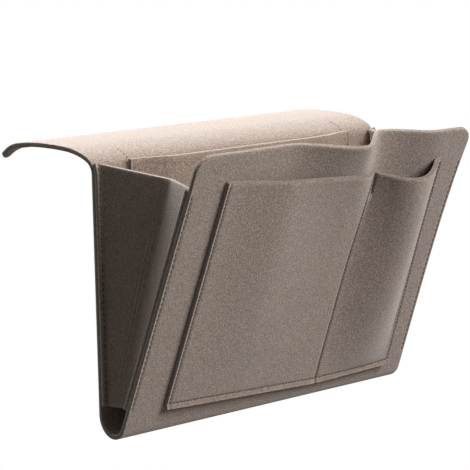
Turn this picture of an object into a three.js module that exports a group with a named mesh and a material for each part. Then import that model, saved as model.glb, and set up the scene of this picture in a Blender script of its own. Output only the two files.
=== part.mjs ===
// Bedside caddy sewn from thick wool felt.
// One long strip of felt makes the mattress flap, the back, the rounded bottom and the slanted front.
// Two folded gussets close the sides, one pocket is sewn inside the back and one outside the front.
// Millimetres. X runs along the bed's side, Y towards the bed, Z up.
// The origin is the middle of the flat rear face that lies against the bed.

import * as THREE from 'three';

// Felt and seams
const FELT = 4;
const SEAM_GAP = 0.3;
const FOLD_GAP = 0.3;
const SEAM_MARGIN = 6;

// The long strip, measured on the middle of its thickness
const WIDTH = 320;
const BACK_HEIGHT = 204;
const TOP_BEND_RADIUS = 12;
const BOTTOM_BEND_RADIUS = 16;
const FRONT_HEIGHT = 262;
const FRONT_SLANT = THREE.MathUtils.degToRad(24.6);
const CORNER_RADIUS = 15;

// The mattress flap leaves the top bend straight, turns over its shoulder and droops, most at its two corners
const FLAP_AXIS_TURN = THREE.MathUtils.degToRad(60);
const SHOULDER_PITCH = THREE.MathUtils.degToRad(8.5);
const DROOP_PITCH = THREE.MathUtils.degToRad(-5);
const TIP_PITCH = THREE.MathUtils.degToRad(-14);
const CURL_PITCH = THREE.MathUtils.degToRad(-35);
const CURL_REACH = 24;
const FLAP_CORNER_RADIUS = 8;
const FOLD_LEAD = 4;
const SHOULDER_LENGTH = 6;
const CREST_LENGTH = 84;
const TIP_LENGTH = 40;

// The front leans out in a soft wave that fades below its top edge, and is drawn in towards its left side
const WAVE_CREST = 17;
const WAVE_HOLLOW = -4;
const WAVE_EDGE = 8;
const WAVE_DIP = -1;
const WAVE_START = 45;
const DIP_TO_DIVIDER = 100;
const CREST_TO_DIVIDER = 22;
const DIVIDER_TO_HOLLOW = 14;
const DIVIDER_TO_EDGE = 78;
const WAVE_LEAN = 0.22;
const WAVE_FADE = 4;
const DRAW_IN = 23.5;
const SLOPE_STEP = 0.5;

// Outer pocket, in distances along the front from its left edge and up from the bottom bend
const OUTER_LEFT = 36;
const OUTER_RIGHT = 33;
const OUTER_SPLAY = 11;
const OUTER_FOOT_LEFT = 17;
const OUTER_FOOT_DIVIDER = 8;
const OUTER_FOOT_RIGHT = 11;
const OUTER_TOP_LEFT = 237;
const OUTER_TOP_CLOSED = 232.5;
const OUTER_TOP_DIVIDER = 229;
const OUTER_TOP_RIGHT = 235;
const DIVIDER = 200;
const DIVIDER_SPLAY = 7;
const WIDE_MOUTH = 9;
const WIDE_RAMP = 50;
const WIDE_CLOSED = 24;
const NARROW_MOUTH = 26.3;
const NARROW_SKEW = 0.844;
const NARROW_SKEW_FOOT = 1.4;
const NARROW_RISE = 0.6;

// Inner pocket on the back
const INNER_WIDTH = 250;
const INNER_DEPTH = 150;
const INNER_WRAP = THREE.MathUtils.degToRad(35);
const INNER_MOUTH = 10;
const INNER_RAMP = 38;

// Side gussets
const GUSSET_FLANGE = 8;
const GUSSET_CORNER = 5;
const GUSSET_RISE = 9;
const GUSSET_FOOT = 8;
const GUSSET_FRONT_FOOT = 17;
const GUSSET_FRONT_TOP = 230;
const GUSSET_FOLD_PLACE = 0.68;
const GUSSET_FOLD_DEPTH = 11;
const GUSSET_FOLD_CUT = 9;

// Places that follow from the sizes above
const HALF = FELT / 2;
const LAYER = FELT + SEAM_GAP;
const BACK_Y = -HALF;
const FLAT_TOP = BACK_HEIGHT / 2;
const FLAT_BOTTOM = -BACK_HEIGHT / 2;
const TOP_BEND = new THREE.Vector2(BACK_Y + TOP_BEND_RADIUS, FLAT_TOP);
const BOTTOM_BEND = new THREE.Vector2(BACK_Y - BOTTOM_BEND_RADIUS, FLAT_BOTTOM);
const FRONT_UP = new THREE.Vector3(0, -Math.sin(FRONT_SLANT), Math.cos(FRONT_SLANT));
const FRONT_OUT = new THREE.Vector3(0, -Math.cos(FRONT_SLANT), -Math.sin(FRONT_SLANT));

const FELT_COLOUR = 0x857a70;

function smooth(t) {
  return THREE.MathUtils.smoothstep(t, 0, 1);
}

function range(count, at) {
  return Array.from({ length: count + 1 }, (_, k) => at(k / count));
}

// A sheet of felt from a grid of points on the middle of its thickness.
// Each row may have its own half thickness, which rounds the end that turns in a fold.
function feltSheet(name, rows, halfOfRow = () => HALF) {
  const across = rows[0].length;
  const last = rows.length - 1;
  const along = new THREE.Vector3();
  const up = new THREE.Vector3();
  const faces = [[], []];
  rows.forEach((row, i) => {
    row.forEach((point, j) => {
      along.subVectors(row[Math.min(j + 1, across - 1)], row[Math.max(j - 1, 0)]);
      up.subVectors(rows[Math.min(i + 1, last)][j], rows[Math.max(i - 1, 0)][j]);
      const normal = new THREE.Vector3().crossVectors(along, up).normalize();
      faces[0].push(point.clone().addScaledVector(normal, halfOfRow(i)));
      faces[1].push(point.clone().addScaledVector(normal, -halfOfRow(i)));
    });
  });
  const points = [...faces[0], ...faces[1]];
  const under = faces[0].length;
  const index = [];
  const quad = (a, b, c, d) => index.push(a, b, c, a, c, d);
  for (let i = 0; i < last; i += 1) {
    for (let j = 0; j < across - 1; j += 1) {
      const a = i * across + j;
      quad(a, a + 1, a + across + 1, a + across);
      quad(under + a, under + a + across, under + a + across + 1, under + a + 1);
    }
  }
  const rim = [];
  for (let j = 0; j < across - 1; j += 1) rim.push(j);
  for (let i = 0; i < last; i += 1) rim.push(i * across + across - 1);
  for (let j = across - 1; j > 0; j -= 1) rim.push(last * across + j);
  for (let i = last; i > 0; i -= 1) rim.push(i * across);
  rim.forEach((a, k) => {
    const b = rim[(k + 1) % rim.length];
    quad(b, a, under + a, under + b);
  });
  const geometry = new THREE.BufferGeometry().setFromPoints(points);
  geometry.setIndex(index);
  geometry.computeVertexNormals();
  const material = new THREE.MeshStandardMaterial({
    color: FELT_COLOUR,
    roughness: 0.95,
    metalness: 0,
  });
  const mesh = new THREE.Mesh(geometry, material);
  mesh.name = name;
  return mesh;
}

// How far a free edge with rounded corners is cut back at a distance from the nearer side
function cornerCut(side, radius) {
  const inset = Math.max(radius - side, 0);
  return radius - Math.sqrt(radius ** 2 - inset ** 2);
}

// Places from one side to the other: fine round both corners, with the given places between them
function acrossWidth(radius, between) {
  const left = range(5, (t) => radius * (1 - Math.cos((t * Math.PI) / 2)));
  const right = left.map((u) => WIDTH - u).reverse();
  return [...left, ...between, ...right];
}

function spread(count, from, to) {
  return range(count, (t) => THREE.MathUtils.lerp(from, to, t));
}

// The rows that round the end of a piece about the axis of a fold, then the rows of the piece itself
const FOLD_ROWS = [0.97, 0.82, 0.5].map((share) => -share * HALF);
const foldHalf = (i) => (i < FOLD_ROWS.length ? Math.sqrt(HALF ** 2 - FOLD_ROWS[i] ** 2) : HALF);

// A walk along tangent arcs in the YZ plane, each turning evenly from one pitch to the next over its run
function walkArcs(start, arcs) {
  return (length) => {
    const point = start.clone();
    let left = length;
    arcs.forEach(({ run, from, to }) => {
      const stretch = Math.min(left, run);
      const turned = THREE.MathUtils.lerp(from, to, stretch / run);
      const middle = (from + turned) / 2;
      const bow = (turned - from) / 2;
      const chord = bow === 0 ? stretch : (stretch * Math.sin(bow)) / bow;
      point.add(new THREE.Vector2(Math.cos(middle), Math.sin(middle)).multiplyScalar(chord));
      left -= stretch;
    });
    return point;
  };
}

// Back panel: from just before the flap's fold, over the top bend, down the flat, round to the front's fold

const TOP_END = FLAP_AXIS_TURN - (HALF + FOLD_GAP) / TOP_BEND_RADIUS;
const BOTTOM_END = Math.PI / 2 - (HALF + FOLD_GAP) / BOTTOM_BEND_RADIUS;

// A point on the strip's profile round the top bend, at an offset towards the caddy's inside
function topBend(turn, offset = 0) {
  const arm = new THREE.Vector2(-Math.cos(turn), Math.sin(turn)).multiplyScalar(TOP_BEND_RADIUS + offset);
  return arm.add(TOP_BEND);
}

function bottomBend(turn) {
  const arm = new THREE.Vector2(Math.cos(turn), -Math.sin(turn)).multiplyScalar(BOTTOM_BEND_RADIUS);
  return arm.add(BOTTOM_BEND);
}

function backPanel() {
  const profile = [
    ...range(8, (t) => topBend(TOP_END * (1 - t))),
    ...range(10, (t) => bottomBend(BOTTOM_END * t)),
  ];
  const rows = profile.map((p) => [-WIDTH / 2, WIDTH / 2].map((x) => new THREE.Vector3(x, p.x, p.y)));
  return feltSheet('back_panel', rows);
}

// Mattress flap

// The flap's pitch at its free edge, at a distance from its nearer side
function curlPitch(side) {
  return THREE.MathUtils.lerp(CURL_PITCH, TIP_PITCH, smooth((side - FLAP_CORNER_RADIUS) / CURL_REACH));
}

function mattressFlap() {
  const axis = topBend(FLAP_AXIS_TURN);
  const pitch = Math.PI / 2 - FLAP_AXIS_TURN;
  const profile = (side) =>
    walkArcs(axis, [
      { run: FOLD_LEAD, from: pitch, to: pitch },
      { run: SHOULDER_LENGTH, from: pitch, to: SHOULDER_PITCH },
      { run: CREST_LENGTH, from: SHOULDER_PITCH, to: DROOP_PITCH },
      { run: TIP_LENGTH, from: DROOP_PITCH, to: curlPitch(side) },
    ]);
  const bent = FOLD_LEAD + SHOULDER_LENGTH;
  const reach = bent + CREST_LENGTH + TIP_LENGTH;
  const curl = spread(5, FLAP_CORNER_RADIUS, FLAP_CORNER_RADIUS + CURL_REACH).slice(1);
  const farCurl = curl.map((u) => WIDTH - u).reverse();
  const places = acrossWidth(FLAP_CORNER_RADIUS, [...curl, WIDTH / 2, ...farCurl]);
  const cuts = places.map((u) => cornerCut(Math.min(u, WIDTH - u), FLAP_CORNER_RADIUS));
  const back = new THREE.Vector2(Math.cos(pitch), Math.sin(pitch));
  const folds = FOLD_ROWS.map((l) => places.map(() => axis.clone().addScaledVector(back, l)));
  const profiles = places.map((u) => profile(Math.min(u, WIDTH - u)));
  const shoulder = [0, ...spread(3, FOLD_LEAD, bent)].map((l) => profiles.map((at) => at(l)));
  const shares = range(17, (t) => t).slice(1);
  const rest = shares.map((t) => cuts.map((cut, j) => profiles[j](bent + t * (reach - cut - bent))));
  const rows = [...folds, ...shoulder, ...rest].map((row) =>
    row.map((p, j) => new THREE.Vector3(places[j] - WIDTH / 2, p.x, p.y)),
  );
  return feltSheet('mattress_flap', rows, foldHalf);
}

// Front panel: round the bottom bend, then up the slant

const WAVE = [
  [-WIDTH, 0],
  [WAVE_START, 0],
  [DIVIDER - DIP_TO_DIVIDER, WAVE_DIP],
  [DIVIDER - CREST_TO_DIVIDER, WAVE_CREST],
  [DIVIDER + DIVIDER_TO_HOLLOW, WAVE_HOLLOW],
  [DIVIDER + DIVIDER_TO_EDGE, WAVE_EDGE],
  [2 * WIDTH, WAVE_EDGE],
];

// Depth of the wave across the width, eased from each station to the next
function wave(u) {
  const k = WAVE.findIndex(([place]) => u <= place);
  const [from, low] = WAVE[k - 1];
  const [to, high] = WAVE[k];
  return THREE.MathUtils.lerp(low, high, smooth((u - from) / (to - from)));
}

// A point on the middle of the front's felt, u across from the left edge and s up from the bottom bend
function front(u, s) {
  const share = Math.max(s, 0) / FRONT_HEIGHT;
  const drawn = 1 - (DRAW_IN / WIDTH) * share;
  const depth = wave(u - WAVE_LEAN * (FRONT_HEIGHT - s)) * share ** WAVE_FADE;
  const foot = bottomBend(Math.PI - FRONT_SLANT);
  return new THREE.Vector3(u * drawn - WIDTH / 2, foot.x, foot.y)
    .addScaledVector(FRONT_UP, s)
    .addScaledVector(FRONT_OUT, depth);
}

// The same place lifted off the front by a distance along its own normal, outwards when positive
function offFront(u, s, lift) {
  const along = front(Math.min(u + SLOPE_STEP, WIDTH), s).sub(front(Math.max(u - SLOPE_STEP, 0), s));
  const up = front(u, s + SLOPE_STEP).sub(front(u, s - SLOPE_STEP));
  const normal = new THREE.Vector3().crossVectors(along, up).normalize();
  return front(u, s).addScaledVector(normal, lift);
}

// A value that runs straight from each of its stations across the front to the next
function alongStations(stations, u) {
  const k = stations.findIndex(([place], n) => n > 0 && (u <= place || n === stations.length - 1));
  const [from, low] = stations[k - 1];
  const [to, high] = stations[k];
  return THREE.MathUtils.mapLinear(u, from, to, low, high);
}

// Where the outer pocket is sewn down and where it may swell, across the front
const OUTER_END = WIDTH - OUTER_RIGHT;
const WIDE_FROM = OUTER_LEFT + SEAM_MARGIN;
const WIDE_TO = DIVIDER - WIDE_CLOSED;
const NARROW_FROM = DIVIDER + SEAM_MARGIN / 2;
const NARROW_TO = OUTER_END - SEAM_MARGIN;
const OUTER_PLACES = [
  OUTER_LEFT,
  ...spread(12, WIDE_FROM, WIDE_TO),
  ...spread(4, WIDE_TO, DIVIDER - SEAM_MARGIN / 2).slice(1),
  ...spread(12, NARROW_FROM, NARROW_TO),
  OUTER_END,
];
const OUTER_FOOT = [
  [OUTER_LEFT, OUTER_FOOT_LEFT],
  [DIVIDER, OUTER_FOOT_DIVIDER],
  [OUTER_END, OUTER_FOOT_RIGHT],
];
const OUTER_TOP = [
  [OUTER_LEFT, OUTER_TOP_LEFT],
  [WIDE_TO, OUTER_TOP_CLOSED],
  [DIVIDER, OUTER_TOP_DIVIDER],
  [OUTER_END, OUTER_TOP_RIGHT],
];
const SPLAY = [
  [0, 0],
  [OUTER_LEFT, 0],
  [DIVIDER, DIVIDER_SPLAY],
  [OUTER_END, OUTER_SPLAY],
  [WIDTH - CORNER_RADIUS, 0],
  [WIDTH, 0],
];

// Where a place across the front lies at a height, as the pocket splays to the right towards its foot
function splayed(u, s) {
  return u + alongStations(SPLAY, u) * (1 - (s / FRONT_HEIGHT) ** 2);
}

function frontPanel() {
  const places = acrossWidth(CORNER_RADIUS, OUTER_PLACES);
  const axis = bottomBend(Math.PI / 2);
  const folds = FOLD_ROWS.map((l) => new THREE.Vector2(axis.x - l, axis.y));
  const bend = spread(6, Math.PI / 2, Math.PI - FRONT_SLANT).map((turn) => bottomBend(turn));
  const round = [...folds, ...bend].map((p) =>
    places.map((u) => new THREE.Vector3(splayed(u, 0) - WIDTH / 2, p.x, p.y)),
  );
  const slant = range(20, (t) =>
    places.map((u) => {
      const s = t * (FRONT_HEIGHT - cornerCut(Math.min(u, WIDTH - u), CORNER_RADIUS));
      return front(splayed(u, s), s);
    }),
  );
  return feltSheet('front_panel', [...round, ...slant.slice(1)], foldHalf);
}

// Outer pocket: flat along its seams, swelling between them towards its mouth

// How far the pocket stands off the front, where open runs from 0 at the foot's seam to 1 at the mouth
function mouthSwell(u, open) {
  if (u > WIDE_FROM && u < WIDE_TO) {
    return WIDE_MOUTH * smooth((u - WIDE_FROM) / WIDE_RAMP) * smooth((WIDE_TO - u) / WIDE_RAMP) * open;
  }
  if (u > NARROW_FROM && u < NARROW_TO) {
    const t = (u - NARROW_FROM) / (NARROW_TO - NARROW_FROM);
    const skew = THREE.MathUtils.lerp(NARROW_SKEW_FOOT, NARROW_SKEW, open ** 3);
    return NARROW_MOUTH * Math.sin(Math.PI * t ** skew) * open ** NARROW_RISE;
  }
  return 0;
}

function outerPocket() {
  const strip = (u, open) => {
    const foot = alongStations(OUTER_FOOT, u);
    const mouth = alongStations(OUTER_TOP, u);
    const s = open === null ? foot : THREE.MathUtils.lerp(foot + SEAM_MARGIN, mouth, open);
    return offFront(splayed(u, s), s, LAYER).addScaledVector(FRONT_OUT, mouthSwell(u, open));
  };
  const rows = [null, ...spread(18, 0, 1)].map((open) => OUTER_PLACES.map((u) => strip(u, open)));
  return feltSheet('outer_pocket', rows);
}

// Inner pocket: sewn on the back along its sides and foot, wrapped a little way round the top bend

function innerPocket() {
  const ramp = spread(5, SEAM_MARGIN, SEAM_MARGIN + INNER_RAMP);
  const places = [0, ...ramp, ...[...ramp, 0].map((u) => INNER_WIDTH - u).sort((a, b) => a - b)];
  const wrap = TOP_BEND_RADIUS + LAYER;
  const flatRun = INNER_DEPTH - wrap * INNER_WRAP;
  const levels = [0, ...spread(6, SEAM_MARGIN, flatRun), ...spread(5, flatRun, INNER_DEPTH).slice(1)];
  const rows = levels.map((h) =>
    places.map((u) => {
      const seam = Math.min(u, INNER_WIDTH - u) - SEAM_MARGIN;
      const open = THREE.MathUtils.clamp((h - SEAM_MARGIN) / (INNER_DEPTH - SEAM_MARGIN), 0, 1);
      const swell = INNER_MOUTH * smooth(seam / INNER_RAMP) * open;
      const over = h - flatRun;
      const p = over > 0 ? topBend(over / wrap, LAYER) : new THREE.Vector2(BACK_Y - LAYER, FLAT_TOP + over);
      return new THREE.Vector3(u - INNER_WIDTH / 2, p.x - swell, p.y);
    }),
  );
  return feltSheet('inner_pocket', rows);
}

// Gusset: a flange sewn inside the back, a wall with a soft inward fold, a flange sewn inside the front

// A path through corner points, each corner rounded by its own cut
function roundedPath(points, cuts, steps) {
  const path = [points[0]];
  for (let k = 1; k < points.length - 1; k += 1) {
    const corner = points[k];
    const cut = cuts[k - 1];
    const enter = corner.clone().add(points[k - 1].clone().sub(corner).setLength(cut));
    const leave = corner.clone().add(points[k + 1].clone().sub(corner).setLength(cut));
    path.push(...new THREE.QuadraticBezierCurve3(enter, corner, leave).getPoints(steps));
  }
  path.push(points[points.length - 1]);
  return path;
}

// A point on the felt that lies inside the back, at a height on the flat or round the top bend
function insideBack(x, z) {
  const radius = TOP_BEND_RADIUS + LAYER;
  const over = Math.max(z - FLAT_TOP, 0);
  return new THREE.Vector3(x, TOP_BEND.x - Math.sqrt(radius ** 2 - over ** 2), z);
}

function gusset(name, side) {
  const place = (inset) => side * (WIDTH / 2 - inset);
  const across = (inset) => (side < 0 ? inset : WIDTH - inset);
  const level = (BACK_HEIGHT - GUSSET_FOOT) / (BACK_HEIGHT - GUSSET_FOOT + GUSSET_RISE);
  const heights = [...spread(11, 0, level), ...spread(4, level, 1).slice(1)];
  const rows = heights.map((t) => {
    const z = THREE.MathUtils.lerp(FLAT_BOTTOM + GUSSET_FOOT, FLAT_TOP + GUSSET_RISE, t);
    const s = THREE.MathUtils.lerp(GUSSET_FRONT_FOOT, GUSSET_FRONT_TOP, t);
    const rearEdge = insideBack(place(0), z);
    const rearCorner = insideBack(place(GUSSET_FLANGE), z);
    const frontCorner = offFront(across(GUSSET_FLANGE), s, -LAYER);
    const frontEdge = offFront(across(0), s, -LAYER);
    const fold = rearCorner.clone().lerp(frontCorner, GUSSET_FOLD_PLACE);
    fold.x -= side * GUSSET_FOLD_DEPTH * t;
    const foldCut = THREE.MathUtils.lerp(GUSSET_CORNER / 2, GUSSET_FOLD_CUT, t);
    const corners = [rearEdge, rearCorner, fold, frontCorner, frontEdge];
    return roundedPath(corners, [GUSSET_CORNER, foldCut, GUSSET_CORNER], 5);
  });
  return feltSheet(name, rows);
}

const caddy = new THREE.Group();
caddy.name = 'bedside_caddy';
caddy.add(
  mattressFlap(),
  backPanel(),
  frontPanel(),
  innerPocket(),
  outerPocket(),
  gusset('gusset_left', -1),
  gusset('gusset_right', 1),
);

export default caddy;
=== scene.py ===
"""Bedside caddy sewn from thick wool felt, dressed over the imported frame.

One long strip of felt makes the mattress flap, the back, the rounded bottom and the slanted front. Two
gussets close the sides, and one pocket is sewn inside the back and one outside the front. Everything is in
metres: X runs along the bed's side, Y towards the bed, Z up, from the middle of the flat rear face.
"""

import bpy
import numpy as np
from mathutils import Matrix


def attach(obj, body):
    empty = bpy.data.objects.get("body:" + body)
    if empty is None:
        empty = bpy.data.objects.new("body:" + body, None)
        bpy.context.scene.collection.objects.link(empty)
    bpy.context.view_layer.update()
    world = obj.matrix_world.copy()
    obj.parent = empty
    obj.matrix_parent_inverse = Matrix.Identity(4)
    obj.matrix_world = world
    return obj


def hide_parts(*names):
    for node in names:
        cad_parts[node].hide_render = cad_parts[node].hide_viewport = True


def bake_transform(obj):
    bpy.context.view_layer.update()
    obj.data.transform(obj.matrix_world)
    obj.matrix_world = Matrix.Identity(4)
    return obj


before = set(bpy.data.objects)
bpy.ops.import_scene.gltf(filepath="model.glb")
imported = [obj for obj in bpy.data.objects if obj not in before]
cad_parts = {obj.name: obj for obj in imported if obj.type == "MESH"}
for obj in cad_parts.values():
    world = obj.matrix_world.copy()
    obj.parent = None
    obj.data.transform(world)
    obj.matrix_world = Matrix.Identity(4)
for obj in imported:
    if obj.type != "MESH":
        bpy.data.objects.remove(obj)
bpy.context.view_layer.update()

bl_info = {
    "name": "Felt Bedside Caddy",
    "version": (1, 0, 0),
    "blender": (4, 5, 0),
    "location": "3D View > Sidebar > Caddy",
    "description": "Builds a felt bedside caddy with its pockets, gussets and seams",
    "category": "Add Mesh",
}

# The picture's width and height in pixels, the camera's sensor in millimetres, the point that the camera
# circles and how far it sees.
PHOTO_SIZE = 470
SENSOR_WIDTH = 36
CAMERA_MIDDLE = (0, -0.050, 0.002)
CAMERA_REACH = 20
# Each soft light's size, its place and the point that it faces.
LAMPS = {
    "key": (0.6, (-0.08, 1.4, 0.62), (0, 0, 0.05)),
    "top": (0.8, (0.15, 0.62, 1.45), (0, 0.02, 0.1)),
    "front": (1.2, (0.46, -1.78, 1.20), (0, -0.05, 0)),
}
# The floor reaches this far to each side, with this many points along it.
FLOOR_REACH = 3
FLOOR_POINTS = 7

# Rows of the strip's parts, and the shares of the front and the flap over which they are even.
BACK_ROWS = 37
BOTTOM_ROWS = 34
FRONT_ROWS = 80
FRONT_EVEN = 0.99
FLAP_ROWS = 60
FLAP_EVEN = 0.9
FLAP_TIP_STEP = 0.02
# Steps across the strip, across and up the outer pocket, and over the inner pocket and the gussets.
STRIP_STEP = 0.0045
OUTER_STEP = 0.0028
OUTER_RISE = 0.0032
INNER_STEP = 0.004
GUSSET_STEP = 0.004
# Steps over each run and bend of a gusset, how many times finer they are towards its fold, and steps round a
# cut edge and over a rounded corner.
GUSSET_STEPS = 12
FOLD_FINER = 4
EDGE_STEPS = 6
CORNER_STEPS = 14
# Columns beside a seam, the least distance between two columns, also for those over a corner, and the
# distance below which two are one.
SEAM_STEPS = np.array([-3.2, -2, -1.2, -0.6, 0, 0.6, 1.2, 2, 3.2]) * 1e-3
CLOSEST = 2.5e-4
CORNER_CLOSEST = 3e-4
SAME = 1e-6

# Half width of the groove that stitches pull in, the run over which it starts and ends, how many times
# deeper the divider's is, and the share of its depth that the thread sinks by.
GROOVE_WIDTH = 1.1e-3
GROOVE_FADE = 0.004
DIVIDER_GROOVE = 1.6
THREAD_SINK = 0.6
# From the end of the felt, or of a bend, to the end of a row of stitches.
ROW_END = 0.002
BEND_END = 0.001
# Places at which a row of stitches is measured, and the half step that gives its direction.
PATH_PLACES = 400
PATH_STEP = 5e-4
# Rings and sides of one stitch, and the share of its thickness that its ends keep.
STITCH_RINGS = 7
STITCH_SIDES = 6
STITCH_END = 0.05
# Spare width that the outer pocket's swells take up.
SWELL_WIDTH = 0.02


def linear(code):
    """The linear RGB of an sRGB hex value: each channel over 255, then the sRGB curve undone."""
    channel = np.array([int(code[k : k + 2], 16) for k in (0, 2, 4)]) / 255
    curved = ((channel + 0.055) / 1.055) ** 2.4
    return tuple(float(value) for value in np.where(channel <= 0.04045, channel / 12.92, curved))


def length(name, description, default):
    """A size in metres that shows as a distance in the panel."""
    kind = {"unit": "LENGTH", "subtype": "DISTANCE", "precision": 4}
    return bpy.props.FloatProperty(name=name, description=description, default=default, **kind)


def angle(name, description, degrees):
    """An angle kept in radians that shows in degrees."""
    kind = {"unit": "ROTATION", "subtype": "ANGLE"}
    return bpy.props.FloatProperty(
        name=name, description=description, default=float(np.radians(degrees)), **kind
    )


def share(name, description, default):
    """A plain number without a unit."""
    return bpy.props.FloatProperty(name=name, description=description, default=default, precision=3)


def colour(name, description, code):
    """A colour whose default is an sRGB hex value."""
    kind = {"subtype": "COLOR", "size": 3, "min": 0, "max": 1}
    return bpy.props.FloatVectorProperty(name=name, description=description, default=linear(code), **kind)


class CaddyFelt(bpy.types.PropertyGroup):
    """The felt, its seams and its colours."""

    thickness: length("Felt thickness", "Thickness of the wool felt", 0.004)
    seam_gap: length("Seam gap", "Air left between two layers that are sewn together", 0.0003)
    seam_margin: length("Seam margin", "Flat felt kept between a pocket's cut edge and its swell", 0.006)
    edge_round: length("Edge rounding", "Radius that a cut edge wears to", 0.0006)
    stitch_pitch: length("Stitch pitch", "Distance from one stitch to the next", 0.0036)
    gusset_pitch: length("Gusset stitch pitch", "The same distance along the gussets", 0.0052)
    stitch_length: length("Stitch length", "Length of thread that shows in one stitch", 0.0026)
    thread: length("Thread thickness", "Thickness of the sewing thread", 0.0008)
    groove: length("Seam groove", "How far a row of stitches pulls the felt in", 0.0009)
    body: colour("Felt", "Mean colour of the melange felt", "7D6D61")
    dark_fibre: colour("Dark fibres", "Dark hairs in the melange", "574A40")
    light_fibre: colour("Light fibres", "Light hairs in the melange", "A49386")
    # The thread's colour is a darker tone of the felt, made darker still by painted shade of the stitch
    # holes.
    thread_with_painted_shade: colour("Thread", "Sewing thread", "3A312B")


class CaddyStrip(bpy.types.PropertyGroup):
    """The long strip that makes the flap, the back, the bottom and the front."""

    width: length("Width", "Width of the strip along the bed", 0.320)
    back_height: length("Back height", "Flat height of the back between its two bends", 0.204)
    back_piece: length("Back join height", "Height of the part of the back that never bends", 0.160)
    top_bend: length("Top bend radius", "Radius of the strip's middle at the flap", 0.012)
    bottom_bend: length("Bottom bend radius", "Radius of the strip's middle round the bottom", 0.016)
    corner: length("Corner radius", "Radius of the front's rounded corners", 0.015)
    axis_turn: angle("Flap axis turn", "Turn round the top bend at which the flap hinges", 60)
    flap_corner: length("Flap corner radius", "Radius of the flap's rounded corners", 0.004)
    shoulder: length("Shoulder length", "Run over which the flap leaves its bend", 0.0081)
    rise: length("Rise length", "Run over which the flap rises from its shoulder", 0.0259)
    crest: length("Crest length", "Run over which the flap crests", 0.0385)
    fall: length("Fall length", "Run over which the flap falls behind its crest", 0.032)
    tip: length("Tip length", "Run over which the flap's free edge turns down", 0.0285)
    shoulder_pitch: angle("Shoulder pitch", "Pitch of the flap where its rise starts", 17)
    rise_pitch: angle("Rise pitch", "Pitch of the flap where its crest starts", 2.3)
    crest_pitch: angle("Crest pitch", "Pitch of the flap where its fall starts", -2.2)
    droop: angle("Droop", "Pitch of the flap where its tip starts", -8.5)
    tip_pitch: angle("Tip pitch", "Pitch of the flap at the middle of its free edge", -12.5)
    curl_pitch: angle("Curl pitch", "Pitch of the flap at the corners of its free edge", -43)
    curl_reach: length("Curl reach", "Width over which a corner's curl fades", 0.016)
    front_height: length("Front height", "Height of the front along its slant", 0.262)
    slant: angle("Front slant", "How far the front leans out", 24.6)
    draw_in: length("Draw-in", "How far the front's right side is drawn in at its top", 0.0235)
    wave_start: length("Wave start", "Place where the front's top edge leaves its plane", 0.045)
    wave_dip: length("Wave dip", "Depth of the dip behind the wide pocket", -0.001)
    wave_crest: length("Wave crest", "Depth of the crest left of the divider", 0.017)
    wave_hollow: length("Wave hollow", "Depth of the hollow right of the divider", -0.004)
    wave_edge: length("Wave edge", "Depth at the right side", 0.008)
    dip_place: length("Dip to divider", "From the dip to the divider", 0.100)
    crest_place: length("Crest to divider", "From the crest to the divider", 0.022)
    hollow_place: length("Divider to hollow", "From the divider to the hollow", 0.014)
    edge_place: length("Divider to edge", "From the divider to the edge's depth", 0.078)
    wave_lean: share("Wave lean", "How far the wave moves right for each step down", 0.22)
    wave_fade: share("Wave fade", "Power with which the wave fades below the top edge", 4.0)


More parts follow.
